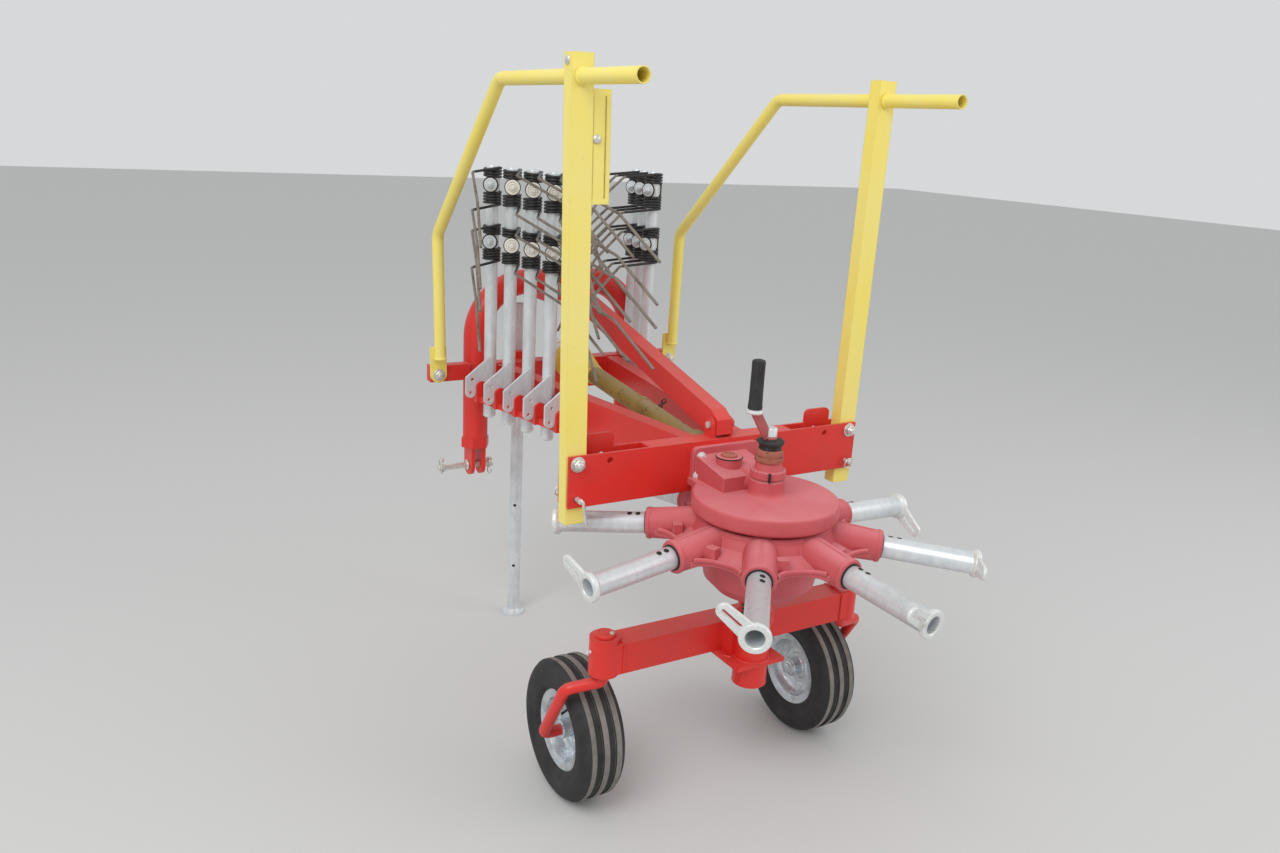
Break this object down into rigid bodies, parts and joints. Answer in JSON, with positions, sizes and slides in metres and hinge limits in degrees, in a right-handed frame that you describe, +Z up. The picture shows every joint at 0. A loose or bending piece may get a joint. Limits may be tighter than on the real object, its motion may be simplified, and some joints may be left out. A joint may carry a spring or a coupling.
{
  "type": "rotary rake",
  "caption": "Rotary rake for a three-point linkage, parked on caster wheels and a stand leg, with its tine arms stored upright in racks and its guards folded up.",
  "frame": {"origin": "middle of the bottom of the whole machine as it parks, on the floor", "axes": "+Y towards the tractor, +X to the machine's right, +Z up along the rotor's axis"},
  "size_m": [1.1628, 1.9891, 2.0364],
  "materials": {
    "red_paint": "gloss red paint, dusty and chipped",
    "red_casting": "red paint on casting, dusty and faded",
    "guard_yellow": "pale yellow paint with rust at the edges",
    "galvanised": "dull galvanised steel",
    "bright_steel": "zinc plated steel, worn",
    "caster_steel": "red paint on bent bar, worn",
    "spring_black": "black lacquered spring wire, worn brown at the tips",
    "silver_paint": "silver grey paint",
    "tyre": "black rubber with dusty ribs",
    "grip_black": "black ribbed grip",
    "drive_yellow": "yellow ribbed plastic guard"
  },
  "bodies": {
    "frame": {"crossbeam": "red_paint", "vbeam_left": "red_paint", "vbeam_right": "red_paint", "headstock": "red_paint", "top_brace": "red_paint", "brace_pin": "bright_steel", "hitch_pin_left": "bright_steel", "hitch_pin_right": "bright_steel", "rack_left": "red_paint", "rack_right": "red_paint", "tine_arms_left": "galvanised", "tine_arms_right": "galvanised", "spring_tines_left": "spring_black", "spring_tines_right": "spring_black", "gearbox": "red_casting", "height_crank": "bright_steel", "crank_grip": "grip_black", "column": "red_paint", "undercarriage_beam": "red_paint", "stand_sleeve": "red_paint", "drive_guard": "drive_yellow", "input_shaft": "bright_steel", "guard_bolts_left": "bright_steel", "guard_bolts_right": "bright_steel"},
    "rotor": {"rotor_hub": "red_casting", "rotor_pan": "red_casting", "rotor_stubs": "galvanised"},
    "caster_left": {"caster_left": "caster_steel"},
    "caster_right": {"caster_right": "caster_steel"},
    "wheel_left": {"tyre_left": "tyre", "rim_left": "silver_paint"},
    "wheel_right": {"tyre_right": "tyre", "rim_right": "silver_paint"},
    "guard_left": {"guard_upright_left": "guard_yellow", "guard_rail_left": "guard_yellow"},
    "guard_right": {"guard_upright_right": "guard_yellow", "guard_rail_right": "guard_yellow"},
    "stand": {"stand_leg": "galvanised"}
  },
  "joints": [
    {"name": "rotor_spin", "type": "hinge", "parent": "frame", "child": "rotor", "pos_m": [0.00376, -0.41936, 0.83], "axis": [0, 0, 1], "continuous": true},
    {"name": "caster_swivel_left", "type": "hinge", "parent": "frame", "child": "caster_left", "pos_m": [-0.41424, -0.31736, 0.5], "axis": [0, 0, 1], "continuous": true},
    {"name": "wheel_spin_left", "type": "hinge", "parent": "caster_left", "child": "wheel_left", "pos_m": [-0.41424, -0.16236, 0.205], "axis": [1, 0, 0], "continuous": true},
    {"name": "guard_fold_left", "type": "hinge", "parent": "frame", "child": "guard_left", "pos_m": [-0.46124, -0.18336, 1.021], "axis": [0, -1, 0], "range_deg": [0, 88]},
    {"name": "caster_swivel_right", "type": "hinge", "parent": "frame", "child": "caster_right", "pos_m": [0.42176, -0.31736, 0.5], "axis": [0, 0, 1], "continuous": true},
    {"name": "wheel_spin_right", "type": "hinge", "parent": "caster_right", "child": "wheel_right", "pos_m": [0.42176, -0.16236, 0.205], "axis": [1, 0, 0], "continuous": true},
    {"name": "guard_fold_right", "type": "hinge", "parent": "frame", "child": "guard_right", "pos_m": [0.46876, -0.18336, 1.021], "axis": [0, 1, 0], "range_deg": [0, 88]},
    {"name": "stand_lift", "type": "slide", "parent": "frame", "child": "stand", "axis": [0, 0, 1], "range_m": [0, 0.35]}
  ]
}
